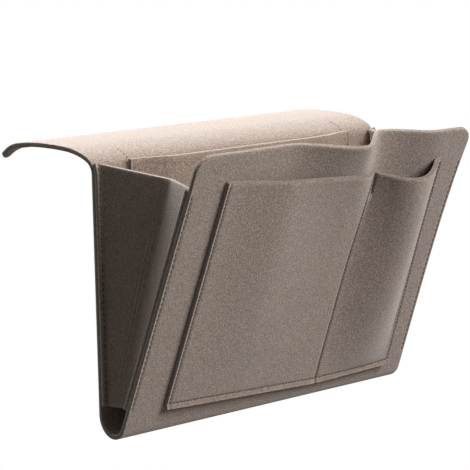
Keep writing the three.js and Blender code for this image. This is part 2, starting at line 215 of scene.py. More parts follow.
class CaddyPockets(bpy.types.PropertyGroup):
    """The outer and inner pockets and the gussets."""

    left: length("Outer pocket left", "From the front's left side to the outer pocket", 0.036)
    right: length("Outer pocket right", "From the outer pocket to the front's right side", 0.033)
    splay: length("Outer pocket splay", "How far the right seam splays towards its foot", 0.011)
    foot_left: length("Foot at left", "Height of the pocket's foot at its left", 0.017)
    foot_divider: length("Foot at divider", "Height of the pocket's foot at the divider", 0.008)
    foot_right: length("Foot at right", "Height of the pocket's foot at its right", 0.011)
    top_left: length("Top at left", "Height of the pocket's mouth at its left", 0.237)
    top_closed: length("Top where closed", "Height of the mouth where the wide part closes", 0.2325)
    top_divider: length("Top at divider", "Height of the pocket's mouth at the divider", 0.229)
    top_right: length("Top at right", "Height of the pocket's mouth at its right", 0.235)
    divider: length("Divider", "From the front's left side to the divider seam at the top", 0.200)
    divider_splay: length("Divider splay", "How far the divider seam splays towards its foot", 0.007)
    side_seam: length("Side seam", "From a pocket's cut side to its seam", 0.0027)
    foot_seam: length("Foot seam", "From the pocket's lower cut edge to its seam", 0.005)
    foot_flare: length("Foot flare", "How far the cut edge below the foot's seam stands off", 0.0021)
    wide_mouth: length("Wide mouth", "How far the wide pocket's mouth stands open", 0.0095)
    wide_ramp: length("Wide ramp", "Width over which the wide pocket opens from its left", 0.072)
    wide_close: length("Wide close", "Width over which the wide pocket closes at its right", 0.080)
    wide_closed: length("Wide closed", "Width left of the divider where the wide pocket lies flat", 0.024)
    narrow_mouth: length("Narrow mouth", "How far the narrow pocket's mouth stands open", 0.0263)
    narrow_skew: share("Narrow skew", "Power that moves the narrow pocket's swell to the left", 0.844)
    narrow_skew_foot: share("Narrow skew at foot", "The same power at the pocket's foot", 1.4)
    narrow_rise: share("Narrow rise", "Power of the height with which the narrow pocket opens", 0.6)
    inner_width: length("Inner pocket width", "Width of the pocket inside the back", 0.250)
    inner_depth: length("Inner pocket depth", "Depth of the pocket inside the back", 0.150)
    inner_wrap: angle("Inner pocket wrap", "Turn of the top bend behind the pocket's top", 35)
    inner_mouth: length("Inner mouth", "How far the inner pocket's mouth stands open", 0.010)
    inner_tail: length("Inner seam tail", "How far the inner pocket's seams run on over the top bend", 0.018)
    inner_ramp: length("Inner ramp", "Width over which the inner pocket opens", 0.038)
    flange: length("Gusset flange", "Width of the gusset that is sewn down", 0.0058)
    flange_seam: length("Flange seam", "From the gusset's cut edge to its seam", 0.0027)
    gusset_corner: length("Gusset corner", "Size of the bend between flange and wall", 0.0032)
    gusset_rise: length("Gusset rise", "How far the gusset goes past the back's flat", 0.009)
    gusset_foot: length("Gusset foot", "From the bottom bend to the gusset's foot", 0.008)
    gusset_front_foot: length("Gusset front foot", "Height of the gusset's foot on the front", 0.017)
    gusset_front_top: length("Gusset front top", "Height of the gusset's top on the front", 0.230)
    fold_place: share("Fold place", "Share of the gusset's width at which it folds", 0.68)
    fold_depth: length("Fold depth", "How far the gusset's fold lies inwards at its top", 0.011)
    fold_cut: length("Fold softness", "Size of the soft bend of the fold at its top", 0.005)
    ripple: length("Ripple depth", "Depth of the small ripples behind the fold", 0.00045)
    ripple_pitch: length("Ripple pitch", "From one ripple to the next", 0.0042)
    ripple_reach: length("Ripple reach", "How far behind the fold the ripples reach", 0.014)


class CaddyStage(bpy.types.PropertyGroup):
    """The camera, the lights and the floor."""

    azimuth: angle("Camera azimuth", "Turn of the camera round the caddy", -40.071)
    elevation: angle("Camera elevation", "Height of the camera above the horizon", 10.008)
    roll: angle("Camera roll", "Roll of the camera about its own axis", -1.141)
    distance: length("Camera distance", "From the camera to the point it circles", 1.747541)
    focal: share("Focal length in pixels", "Focal length measured in pixels of the picture", 2023.046)
    right: length("Camera offset right", "How far the caddy lies right of the picture's middle", 0.037962)
    up: length("Camera offset up", "How far the caddy lies above the picture's middle", -0.034426)
    floor_height: length("Floor height", "Height of the floor under the hanging caddy", -1.40)
    floor: colour("Floor", "Pale floor", "9E9B97")
    key_power: share("Key power", "Watts of the soft light behind the flap", 26.0)
    top_power: share("Top power", "Watts of the soft light above", 41.0)
    front_power: share("Front power", "Watts of the soft light in front", 60.0)
    sky: share("Sky strength", "Strength of the light from all around", 0.115)


def smooth(t):
    """An eased step: 3t^2 - 2t^3 between 0 and 1."""
    t = np.clip(t, 0, 1)
    return t * t * (3 - 2 * t)


def nearer(u, width):
    """Distance from the nearer of the two sides of a sheet: the lesser of u and width - u."""
    return np.minimum(u, width - u)


def quarter(count):
    """Steps from 0 to 1 that follow a quarter circle: 1 - cos of even angles."""
    return 1 - np.cos(np.linspace(0, np.pi / 2, count))


def walk(run, start, lengths, pitches):
    """Points on a chain of arcs in YZ: each arc turns evenly from one pitch to the next, so the point moves
    by the chord run * sin(bow) / bow along the arc's middle pitch. Before the first arc and past the last it
    goes straight."""
    y = np.full_like(run, start[0])
    z = np.full_like(run, start[1])
    left = run.copy()
    for reach, first, last in zip(lengths, pitches[:-1], pitches[1:]):
        stretch = np.minimum(left, reach)
        turned = first + (last - first) * stretch / reach
        bow = (turned - first) / 2
        chord = stretch * np.sinc(bow / np.pi)
        y += chord * np.cos((first + turned) / 2)
        z += chord * np.sin((first + turned) / 2)
        left -= stretch
    y += left * np.cos(pitches[-1])
    z += left * np.sin(pitches[-1])
    return y, z


class Pattern:
    """The caddy's cutting pattern: where each place of each piece lies, as functions of whole arrays."""

    def __init__(self, scene):
        self.felt = scene.caddy_felt
        self.strip = scene.caddy_strip
        self.pockets = scene.caddy_pockets
        self.half = self.felt.thickness / 2
        self.layer = self.felt.thickness + self.felt.seam_gap
        self.sunk = self.half - self.felt.groove * THREAD_SINK
        self.flat_top = self.strip.back_height / 2
        self.join = self.strip.back_piece / 2
        self.spare = self.flat_top - self.join
        self.out = np.array([0, -np.cos(self.strip.slant), -np.sin(self.strip.slant)])

    # The long strip

    def back(self, u, run):
        """The flat back: X is the place across, Z rises with the run from the lower join."""
        return np.stack([u - self.strip.width / 2, np.full_like(u, -self.half), run - self.join], -1)

    def flap_lengths(self):
        """Runs of the flap's arcs, from the upper join to the free edge."""
        strip = self.strip
        bend = strip.top_bend * strip.axis_turn
        return [self.spare, bend, strip.shoulder, strip.rise, strip.crest, strip.fall, strip.tip]

    def flap(self, u, run):
        """The flap: up from the join, round the top bend, over the shoulder, rise and crest and down at the
        tip, which curls more towards both corners."""
        strip = self.strip
        level = np.pi / 2 - strip.axis_turn
        side = nearer(u, strip.width) - strip.flap_corner
        curled = strip.curl_pitch + (strip.tip_pitch - strip.curl_pitch) * smooth(side / strip.curl_reach)
        arch = [strip.shoulder_pitch, strip.rise_pitch, strip.crest_pitch, strip.droop]
        pitches = [np.pi / 2, np.pi / 2, level, *arch, curled]
        y, z = walk(run, (-self.half, self.join), self.flap_lengths(), pitches)
        return np.stack([u - strip.width / 2, y, z], -1)

    def front_start(self):
        """Run from the lower join to where the slanted front begins."""
        return self.spare + self.strip.bottom_bend * (np.pi - self.strip.slant)

    def wave(self, u):
        """Depth of the front's wave: eased from each of its stations to the next."""
        strip, divider = self.strip, self.pockets.divider
        places = [
            strip.wave_start,
            divider - strip.dip_place,
            divider - strip.crest_place,
            divider + strip.hollow_place,
            divider + strip.edge_place,
        ]
        depths = [0, strip.wave_dip, strip.wave_crest, strip.wave_hollow, strip.wave_edge]
        total = np.zeros_like(u)
        for k in range(len(places) - 1):
            eased = smooth((u - places[k]) / (places[k + 1] - places[k]))
            total += (depths[k + 1] - depths[k]) * eased
        return total

    def front(self, u, s):
        """The front: s climbs the slant and is negative round the bottom bend. The width is drawn in evenly
        with height, and the wave's depth fades with a power of the height."""
        strip = self.strip
        begin = self.front_start()
        turn = -np.pi / 2 - (np.pi - strip.slant)
        lengths = [self.spare, begin - self.spare]
        y, z = walk(s + begin, (-self.half, -self.join), lengths, [-np.pi / 2, -np.pi / 2, turn])
        height = np.maximum(s, 0) / strip.front_height
        x = u * (1 - strip.draw_in / strip.width * height) - strip.width / 2
        depth = self.wave(u - strip.wave_lean * (strip.front_height - s)) * height**strip.wave_fade
        return np.stack([x, y, z], -1) + depth[..., None] * self.out

    # The outer pocket

    def splayed(self, u, s):
        """The place across the front at a height: columns move right towards the foot, most at the right
        seam, by the square of the height."""
        pockets, strip = self.pockets, self.strip
        places = [pockets.left, pockets.divider, strip.width - pockets.right, strip.width - strip.corner]
        part = np.interp(u, places, [0, pockets.divider_splay, pockets.splay, 0])
        return u + part * (1 - (s / strip.front_height) ** 2)

    def outer_height(self, u, up):
        """Height on the front of a place that is a share up the outer pocket: foot and mouth run straight
        between their stations."""
        pockets = self.pockets
        ends = [pockets.left, pockets.divider, self.strip.width - pockets.right]
        foot = np.interp(u, ends, [pockets.foot_left, pockets.foot_divider, pockets.foot_right])
        ends.insert(1, pockets.divider - pockets.wide_closed)
        tops = [pockets.top_left, pockets.top_closed, pockets.top_divider, pockets.top_right]
        mouth = np.interp(u, ends, tops)
        return foot + up * (mouth - foot)

    def under_outer(self, u, up):
        """The place of the front that lies behind a place of the outer pocket."""
        s = self.outer_height(u, up)
        return self.front(self.splayed(u, s), s)

    def swell(self, u, opened):
        """How far the outer pocket stands off the front: the wide part between two eased ramps, the narrow
        part as a sine of a power of the place, which goes from foot to mouth with the height's cube. The
        first grows with the height above the foot's seam, the other with a power of it."""
        pockets = self.pockets
        margin = self.felt.seam_margin
        first, last = pockets.left + margin, pockets.divider - pockets.wide_closed
        wide = pockets.wide_mouth * smooth((u - first) / pockets.wide_ramp)
        wide *= smooth((last - u) / pockets.wide_close)
        first, last = pockets.divider + margin / 2, self.strip.width - pockets.right - margin
        place = np.clip((u - first) / (last - first), 0, 1)
        skew = pockets.narrow_skew_foot + (pockets.narrow_skew - pockets.narrow_skew_foot) * opened**3
        narrow = pockets.narrow_mouth * np.sin(np.pi * place**skew)
        return wide * opened + narrow * opened**pockets.narrow_rise

    def outer(self, u, up):
        """The outer pocket: one layer off the front along its normal, plus the swell and a flare below the
        foot's seam."""
        s = self.outer_height(u, up)
        cut = self.outer_height(u, np.zeros_like(u))
        foot = cut + self.felt.seam_margin
        mouth = self.outer_height(u, np.ones_like(u))
        opened = np.clip((s - foot) / (mouth - foot), 0, None)
        place = self.splayed(u, s)
        lift = self.layer * normals(self.front, place, s)
        flare = self.pockets.foot_flare * np.clip(1 - (s - cut) / self.pockets.foot_seam, 0, None)
        return self.front(place, s) + lift + (self.swell(u, opened) + flare)[..., None] * self.out

    # The inner pocket

    def inner_flat(self):
        """Height of the inner pocket's part below the top bend."""
        return self.pockets.inner_depth - (self.strip.top_bend + self.layer) * self.pockets.inner_wrap

    def inner(self, u, h):
        """The inner pocket: one layer off the back and straight up past the start of the top bend, standing
        open towards its mouth between its sewn sides."""
        pockets = self.pockets
        margin = self.felt.seam_margin
        side = nearer(u, pockets.inner_width) - margin
        opened = np.clip((h - margin) / (pockets.inner_depth - margin), 0, None)
        y = -self.half - self.layer - pockets.inner_mouth * smooth(side / pockets.inner_ramp) * opened
        z = self.flat_top + h - self.inner_flat()
        return np.stack([u - pockets.inner_width / 2, y, z], -1)

    # The gussets

    def inside_back(self, u, z):
        """A place on the layer inside the back, on the flat or round the top bend."""
        radius = self.strip.top_bend + self.layer
        over = np.maximum(z - self.flat_top, 0)
        y = self.strip.top_bend - self.half - np.sqrt(radius**2 - over**2)
        return np.stack([np.full_like(z, u - self.strip.width / 2), y, z], -1)

    def inside_front(self, u, s):
        """A place on the layer behind the front."""
        place = np.full_like(s, u)
        return self.front(place, s) - self.layer * normals(self.front, place, s)

    def gusset_rows(self, side, heights):
        """For each share of the height, the gusset's five corners across: rear edge, rear bend, fold, front
        bend and front edge. The fold lies on the line between the bends, moved inwards in proportion to the
        height."""
        pockets, strip = self.pockets, self.strip
        edge, bend = (inset if side < 0 else strip.width - inset for inset in (0, pockets.flange))
        rise = strip.back_height - pockets.gusset_foot + pockets.gusset_rise
        z = pockets.gusset_foot - self.flat_top + heights * rise
        climb = pockets.gusset_front_top - pockets.gusset_front_foot
        s = pockets.gusset_front_foot + heights * climb
        rear_bend = self.inside_back(bend, z)
        front_bend = self.inside_front(bend, s)
        fold = rear_bend + pockets.fold_place * (front_bend - rear_bend)
        fold[:, 0] -= side * pockets.fold_depth * heights
        return [self.inside_back(edge, z), rear_bend, fold, front_bend, self.inside_front(edge, s)]

    def gusset(self, side, heights, steps):
        """The gusset's grid: straight runs joined by quadratic curves that start and end a cut away from each
        corner. Columns come closer towards the fold. Behind it the felt ripples: a sine of the distance,
        under one arch of a sine over the ripples' reach and one over the height."""
        pockets = self.pockets
        corners = self.gusset_rows(side, heights)
        soft = pockets.gusset_corner / 2 + heights * (pockets.fold_cut - pockets.gusset_corner / 2)
        firm = np.full_like(heights, pockets.gusset_corner)
        t = np.linspace(0, 1, steps)[None, :, None]
        even = np.linspace(0, 1, steps)
        close = 1 - (1 - np.linspace(0, 1, FOLD_FINER * steps)) ** 2
        strips = []
        before = corners[0]
        bends = zip(corners[1:-1], corners[2:], (firm, soft, firm), (even, close, even))
        for corner, after, cut, runs in bends:
            enter = corner + toward(corner, before) * cut[:, None]
            leave = corner + toward(corner, after) * cut[:, None]
            run = runs[:-1][None, :, None]
            strips.append(before[:, None] + run * (enter - before)[:, None])
            curve = (1 - t) ** 2 * enter[:, None] + 2 * t * (1 - t) * corner[:, None]
            curve += t**2 * leave[:, None]
            strips.append(curve[:, :-1])
            before = leave
        strips.append(before[:, None] + t * (corners[-1] - before)[:, None])
        grid = np.concatenate(strips, 1)
        behind = np.linalg.norm(grid - corners[2][:, None], axis=2)
        behind[:, sum(strip.shape[1] for strip in strips[:3]) :] = 0
        reach = np.clip(behind / pockets.ripple_reach, 0, 1)
        swing = np.sin(2 * np.pi * behind / pockets.ripple_pitch) * np.sin(np.pi * reach)
        arch = np.sin(np.pi * heights)[:, None]
        return grid + grid_normals(grid) * (pockets.ripple * swing * arch)[..., None]


def toward(start, end):
    """Unit vectors from one array of points to another."""
    way = end - start
    return way / np.linalg.norm(way, axis=-1, keepdims=True)


def normals(surface, u, v, step=2.5e-4):
    """Unit normals of a surface: the cross product of its central differences along both parameters."""
    along = surface(u + step, v) - surface(u - step, v)
    up = surface(u, v + step) - surface(u, v - step)
    cross = np.cross(along, up)
    return cross / np.linalg.norm(cross, axis=-1, keepdims=True)


def grid_normals(points):
    """Unit normals of a grid of points: the cross product of its differences along its columns and rows."""
    cross = np.cross(np.gradient(points, axis=1), np.gradient(points, axis=0))
    return cross / np.linalg.norm(cross, axis=-1, keepdims=True)


def stations(first, last, spacing, fine, rounding):
    """Places from first to last: even steps, quarter-circle steps at both ends and close steps at seams."""
    ends = rounding * quarter(EDGE_STEPS)
    even = np.linspace(first, last, int(np.ceil((last - first) / spacing)) + 1)
    about = (np.array(fine, dtype=float)[:, None] + SEAM_STEPS).ravel()
    places = np.concatenate([first + ends, last - ends, even, about])
    places = np.sort(places[(places >= first) & (places <= last)])
    inner = (places > first + rounding) & (places < last - rounding)
    apart = np.concatenate([[True], np.diff(places) > CLOSEST]) | ~inner
    keep = apart & np.concatenate([[True], np.diff(places) > SAME])
    return places[keep]


def rounded(distance, half, radius):
    """Half thickness at a distance from a cut edge: a quarter circle of the radius, then the full half."""
    inset = radius - np.clip(distance, 0, radius)
    return half - radius + np.sqrt(radius**2 - inset**2)


def corner_distance(side, end, radius):
    """Distance from the outline of a rounded corner, from the distances to the side and to the end."""
    near = (side < radius) & (end < radius)
    return np.where(near, radius - np.hypot(radius - side, radius - end), np.minimum(side, end))


def corner_cut(side, radius):
    """How far a rounded corner shortens a column at a distance from the side."""
    inset = np.maximum(radius - side, 0)
    return radius - np.sqrt(radius**2 - inset**2)


def dent(distance, depth):
    """Depth of the felt pulled in by a row of stitches: a bell curve of the distance from the row."""
    return depth * np.exp(-((distance / GROOVE_WIDTH) ** 2))


def quads(index):
    """The faces of a grid of point numbers: each with its right, upper right and upper neighbour."""
    corners = [index[:-1, :-1], index[:-1, 1:], index[1:, 1:], index[1:, :-1]]
    return np.stack(corners, -1).reshape(-1, 4)


def new_object(name, points, faces, smooth_faces, material):
    """A mesh object at the origin from whole arrays of points and quads. Flat faces keep sharp edges."""
    mesh = bpy.data.meshes.new(name)
    mesh.from_pydata(points.tolist(), [], faces.tolist())
    mesh.polygons.foreach_set("use_smooth", smooth_faces)
    edge_of = np.empty(len(mesh.loops), dtype=np.int32)
    mesh.loops.foreach_get("edge_index", edge_of)
    sharp = np.zeros(len(mesh.edges), dtype=bool)
    sharp[edge_of.reshape(-1, 4)[~smooth_faces]] = True
    mesh.edges.foreach_set("use_edge_sharp", sharp)
    mesh.materials.append(material)
    mesh.update()
    if mesh.validate():
        raise RuntimeError(f"{name} has broken faces")
    piece = bpy.data.objects.new(name, mesh)
    bpy.context.scene.collection.objects.link(piece)
    return piece


def felt_slab(name, middle, normal, distance, felt, above=0.0, below=0.0, joins=()):
    """A closed slab of felt: the middle's grid moved along its normals to both faces, less what stitches pull
    in above and below, and joined by a rim. The sides named in joins butt against the next piece and keep a
    flat face there. The distance from the cut edge rounds the slab and gives the point attribute cut_edge,
    which falls from 1 at the cut to 0 at twice the edge's rounding."""
    half = rounded(distance, felt.thickness / 2, felt.edge_round)
    top = middle + normal * (half - above)[..., None]
    bottom = middle - normal * (half - below)[..., None]
    points = np.concatenate([top.reshape(-1, 3), bottom.reshape(-1, 3)])
    under = distance.size
    index = np.arange(under).reshape(distance.shape)
    face = quads(index)
    rims = {"start": index[0], "right": index[:, -1], "end": index[-1, ::-1], "left": index[::-1, 0]}
    walls = [np.stack([r[1:], r[:-1], r[:-1] + under, r[1:] + under], -1) for r in rims.values()]
    faces = np.concatenate([face, face[:, ::-1] + under, *walls])
    soft = [np.full(len(wall), side not in joins) for side, wall in zip(rims, walls)]
    soft = np.concatenate([np.ones(2 * len(face), bool), *soft])
    piece = new_object(name, points, faces, soft, felt_material(felt))
    # Nearness to the cut edge. The felt's material uses it to paint shade on the edge and a highlight beside
    # it.
    edge_nearness = 1 - smooth(np.tile(distance.ravel(), 2) / felt.edge_round / 2)
    attribute = piece.data.attributes.new("cut_edge", "FLOAT", "POINT")
    attribute.data.foreach_set("value", edge_nearness.astype(np.float32))
    return piece


def declare(piece, node, flat, held, rests_on, **more):
    """Hides the frame's part named node, which the piece stands in for. The piece itself, its cut size, its
    hold, what it rests on and the rest are not used.
    """
    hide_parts(node)


def lay_stitches(felt, surface, path, side, lift, pitch):
    """Stitches along a path on a surface: places an even pitch apart by length, each a spindle of thread on
    the side of the felt that is asked for, lifted off the surface along its normal."""
    path = np.array(path, dtype=float)
    t = np.linspace(0, 1, PATH_PLACES)
    knots = np.linspace(0, 1, len(path))
    u, v = (np.interp(t, knots, path[:, k]) for k in (0, 1))
    points = surface(u, v)
    run = np.concatenate([[0], np.cumsum(np.linalg.norm(np.diff(points, axis=0), axis=1))])
    count = max(int(run[-1] / pitch), 1)
    centre = (np.arange(count) + 0.5) * run[-1] / count
    place = [np.interp(centre, run, k) for k in (u, v)]
    ahead = [np.interp(centre + PATH_STEP, run, k) for k in (u, v)]
    behind = [np.interp(centre - PATH_STEP, run, k) for k in (u, v)]
    normal = normals(surface, *place) * side
    along = toward(surface(*behind), surface(*ahead))
    across = np.cross(normal, along)
    middle = surface(*place) + normal * lift
    return spindles(middle, along, across, normal, felt)


def spindles(middle, along, across, normal, felt):
    """Threads as closed spindles: rings whose size follows the root of 1 - t^2 from end to end."""
    t = np.cos(np.linspace(np.pi, 0, STITCH_RINGS))
    size = np.maximum(np.sqrt(1 - t**2), STITCH_END)
    turn = np.linspace(0, 2 * np.pi, STITCH_SIDES, endpoint=False)
    ring = felt.thread / 2 * size[:, None]
    reach = felt.stitch_length / 2 * t
    width = ring * np.cos(turn)
    rise = ring * np.sin(turn)
    points = (
        middle[:, None, None]
        + along[:, None, None] * reach[None, :, None, None]
        + across[:, None, None] * width[None, :, :, None]
        + normal[:, None, None] * rise[None, :, :, None]
    )
    count, rings, sides = points.shape[:3]
    index = np.arange(count * rings * sides).reshape(count, rings, sides)
    beside = np.roll(index, -1, axis=2)
    body = np.stack([index[:, :-1], beside[:, :-1], beside[:, 1:], index[:, 1:]], -1).reshape(-1, 4)
    first, last = index[:, 0], index[:, -1]
    caps = [first[:, [0, 5, 4, 3]], first[:, [0, 3, 2, 1]], last[:, [0, 1, 2, 3]], last[:, [0, 3, 4, 5]]]
    return points.reshape(-1, 3), np.concatenate([body, *caps])


def add_node(tree, kind, *links, **settings):
    """Adds a node. Sockets given in order are linked to its inputs in order. Each setting goes by its name to
    a property of the node or to an input, as a link where it is a socket and as a value where it isn't."""
    node = tree.nodes.new(f"ShaderNode{kind}")
    for place, source in enumerate(links):
        tree.links.new(source, node.inputs[place])
    for key, value in settings.items():
        label = key.replace("_", " ")
        if isinstance(value, bpy.types.NodeSocket):
            tree.links.new(value, node.inputs[label])
        elif hasattr(node, key):
            setattr(node, key, value)
        else:
            node.inputs[label].default_value = value
    return node


def new_material(name):
    """A material with an empty node tree, and the tree."""
    material = bpy.data.materials.new(name)
    material.use_nodes = True
    material.node_tree.nodes.clear()
    return material, material.node_tree


def felt_material(felt):
    """Pressed wool felt, dyed taupe as a melange: matt, with fine dark and light hairs, a soft cloudiness and
    a nap that catches light at grazing angles."""
    made = bpy.data.materials.get("pressed_wool_felt")
    if made:
        return made
    material, tree = new_material("pressed_wool_felt")
    where = add_node(tree, "TexCoord").outputs["Object"]
    # Hairs of the melange lie in tufts about 1.3 mm across, drawn a little coarser than the wool to show.
    tufts = add_node(tree, "TexNoise", Vector=where, Scale=1 / 0.0013, Detail=2.0, Roughness=0.6)
    # Longer hairs wander over 5 mm.
    wander = {"Scale": 1 / 0.005, "Detail": 5.0, "Roughness": 0.75, "Distortion": 2.5}
    hairs = add_node(tree, "TexNoise", Vector=where, **wander)
    fleck = add_node(tree, "MapRange", Value=tufts.outputs["Fac"], From_Min=0.26, From_Max=0.74)
    streak = add_node(tree, "MapRange", Value=hairs.outputs["Fac"], From_Min=0.35, From_Max=0.65)
    melange = add_node(
        tree, "Mix", data_type="FLOAT", Factor=0.2, A=fleck.outputs["Result"], B=streak.outputs["Result"]
    ).outputs["Result"]
    ramp = add_node(tree, "ValToRGB", Fac=melange)
    stops = ramp.color_ramp.elements
    stops[0].position, stops[1].position = 0.08, 0.92
    stops[0].color = (*felt.dark_fibre, 1)
    stops[1].color = (*felt.light_fibre, 1)
    stops.new(0.5).color = (*felt.body, 1)
    # Uneven dye and pressing shows over 40 mm.
    cloud = add_node(tree, "TexNoise", Vector=where, Scale=1 / 0.04, Detail=2.0).outputs["Fac"]
    shade = add_node(tree, "MapRange", Value=cloud, From_Min=0.3, From_Max=0.7, To_Min=0.97, To_Max=1.03)
    # A cut edge carries painted shade, darker than its faces, and its rounded corners carry a painted
    # highlight, lighter.
    edge = add_node(tree, "Attribute", attribute_name="cut_edge").outputs["Fac"]
    # Painted highlight: up to three tenths lighter on the rounded corners of a cut edge.
    painted_edge_highlight = add_node(tree, "MapRange", Value=edge, From_Max=0.5, To_Min=1.0, To_Max=1.3).outputs["Result"]
    # Painted shade: up to four tenths darker on the cut face itself.
    cut = add_node(tree, "MapRange", Value=edge, From_Min=0.75, To_Min=1.0, To_Max=0.6).outputs["Result"]
    # tone is the painted highlight times the painted shade, and is multiplied into the dye below.
    tone = add_node(tree, "Math", painted_edge_highlight, cut, operation="MULTIPLY")
    dyed = ramp.outputs["Color"]
    for factor in (shade.outputs["Result"], tone.outputs["Value"]):
        tinted = add_node(tree, "MixRGB", blend_type="MULTIPLY", Fac=1.0, Color1=dyed, Color2=factor)
        dyed = tinted.outputs["Color"]
    rough = add_node(tree, "Bump", Height=melange, Strength=0.55, Distance=0.0006)
    cover = add_node(
        tree,
        "BsdfPrincipled",
        Base_Color=dyed,
        Normal=rough.outputs["Normal"],
        Roughness=0.95,
        Specular_IOR_Level=0.2,
        Sheen_Weight=0.45,
        Sheen_Roughness=0.6,
        Sheen_Tint=(*linear("F3EEEA"), 1),
    )
    add_node(tree, "OutputMaterial", Surface=cover.outputs["BSDF"])
    return material


def thread_material(felt):
    """Spun polyester sewing thread in a darker tone of the felt, with painted shade of the stitch holes in
    its colour, and with its plies' slight gloss and twist.
    """
    material, tree = new_material("spun_polyester_thread")
    where = add_node(tree, "TexCoord").outputs["Object"]
    # Two plies twist about every 0.8 mm.
    plies = add_node(tree, "TexNoise", Vector=where, Scale=1 / 0.0008, Detail=2.0).outputs["Fac"]
    tone = add_node(tree, "MapRange", Value=plies, From_Min=0.3, From_Max=0.7, To_Min=0.8, To_Max=1.2)
    # The thread's colour holds painted shade of the stitch holes as well as its own darker tone.
    dye = {"Color1": (*felt.thread_with_painted_shade, 1), "Color2": tone.outputs["Result"]}
    tinted = add_node(tree, "MixRGB", blend_type="MULTIPLY", Fac=1.0, **dye)
    twist = add_node(tree, "Bump", Height=plies, Strength=0.4, Distance=0.0002)
    surface = {"Base_Color": tinted.outputs["Color"], "Normal": twist.outputs["Normal"]}
    cover = add_node(tree, "BsdfPrincipled", Roughness=0.7, **surface)
    add_node(tree, "OutputMaterial", Surface=cover.outputs["BSDF"])
    return material


def strip_columns(pattern):
    """Places across the strip, shared by its three pieces: close at the cut sides, corners and seams."""
    strip, pockets = pattern.strip, pattern.pockets
    fine = [pockets.flange_seam, strip.width - pockets.flange_seam]
    places = stations(0, strip.width, STRIP_STEP, fine, pattern.felt.edge_round)
    ends = strip.corner * quarter(CORNER_STEPS)
    extra = np.concatenate([ends, strip.width - ends])
    extra = extra[np.abs(extra[:, None] - places).min(1) > CORNER_CLOSEST]
    return np.sort(np.concatenate([places, extra]))


def flap_turn(piece):
    """Bakes the world place of a piece that crosses the top bend into its mesh."""
    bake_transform(piece)


def front_turn(piece):
    """Bakes the world place of a piece that crosses the bottom bend into its mesh."""
    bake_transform(piece)


class CADDY_OT_back(bpy.types.Operator):
    """Build the flat middle of the strip, which hangs against the bed"""

    bl_idname = "caddy.back"
    bl_label = "Back"

    def execute(self, context):
        pattern = Pattern(context.scene)
        felt, strip = pattern.felt, pattern.strip
        u, run = np.meshgrid(strip_columns(pattern), np.linspace(0, 2 * pattern.join, BACK_ROWS))
        middle, normal = pattern.back(u, run), normals(pattern.back, u, run)
        side = nearer(u, strip.width)
        seam = dent(side - pattern.pockets.flange_seam, felt.groove)
        piece = felt_slab("back_felt", middle, normal, side, felt, below=seam, joins=("start", "end"))
        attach(piece, "back")
        declare(piece, "back_panel", (strip.width, 2 * pattern.join), "hung", ["mattress_flap"])
        return {"FINISHED"}


class CADDY_OT_flap(bpy.types.Operator):
    """Build the flap that is tucked under the mattress, with the bend that it turns on"""

    bl_idname = "caddy.flap"
    bl_label = "Mattress flap"

    def execute(self, context):
        pattern = Pattern(context.scene)
        felt, strip = pattern.felt, pattern.strip
        reach = sum(pattern.flap_lengths())
        even = np.linspace(0, FLAP_EVEN, FLAP_ROWS)
        tip = stations(FLAP_EVEN, 1, FLAP_TIP_STEP, [], FLAP_TIP_STEP)[1:]
        edge = 1 - felt.edge_round / reach * quarter(EDGE_STEPS)
        rows = np.concatenate([even, tip])
        rows = np.unique(np.concatenate([rows[rows < edge.min()], edge]))
        u, t = np.meshgrid(strip_columns(pattern), rows)
        side = nearer(u, strip.width)
        run = t * (reach - corner_cut(side, strip.flap_corner))
        middle, normal = pattern.flap(u, run), normals(pattern.flap, u, run)
        distance = corner_distance(side, reach - run, strip.flap_corner)
        seam = dent(side - pattern.pockets.flange_seam, felt.groove)
        seam *= smooth((pattern.spare + ROW_END - run) / GROOVE_FADE)
        piece = felt_slab("flap_felt", middle, normal, distance, felt, below=seam, joins=("start",))
        flap_turn(piece)
        declare(piece, "mattress_flap", (strip.width, reach), "folded", ["back_felt"])
        return {"FINISHED"}


class CADDY_OT_front(bpy.types.Operator):
    """Build the rounded bottom and the slanted front with its wavy top edge"""

    bl_idname = "caddy.front"
    bl_label = "Front"

    def execute(self, context):
        pattern = Pattern(context.scene)
        felt, strip, pockets = pattern.felt, pattern.strip, pattern.pockets
        begin = pattern.front_start()
        places = strip_columns(pattern)
        low = np.linspace(-begin, 0, BOTTOM_ROWS)
        edge = 1 - felt.edge_round / strip.front_height * quarter(EDGE_STEPS)
        high = np.unique(np.concatenate([np.linspace(0, FRONT_EVEN, FRONT_ROWS)[1:], edge]))
        top = strip.front_height - corner_cut(nearer(places, strip.width), strip.corner)
        u = np.tile(places, (len(low) + len(high), 1))
        s = np.concatenate([np.tile(low[:, None], len(places)), high[:, None] * top])
        middle, normal = pattern.front(u, s), normals(pattern.front, u, s)
        side = nearer(u, strip.width)
        distance = corner_distance(side, strip.front_height - s, strip.corner)
        # The gussets' rows run up the front, and below the lower join up the back.
        span = smooth((s - pockets.gusset_front_foot) / GROOVE_FADE)
        span *= smooth((pockets.gusset_front_top - s) / GROOVE_FADE)
        span += smooth((pattern.spare - pockets.gusset_foot - begin - s) / GROOVE_FADE)
        seam = dent(side - pockets.flange_seam, felt.groove) * span
        piece = felt_slab("front_felt", middle, normal, distance, felt, above=seam, joins=("start",))
        front_turn(piece)
        declare(piece, "front_panel", (strip.width, begin + strip.front_height), "folded", ["back_felt"])
        return {"FINISHED"}


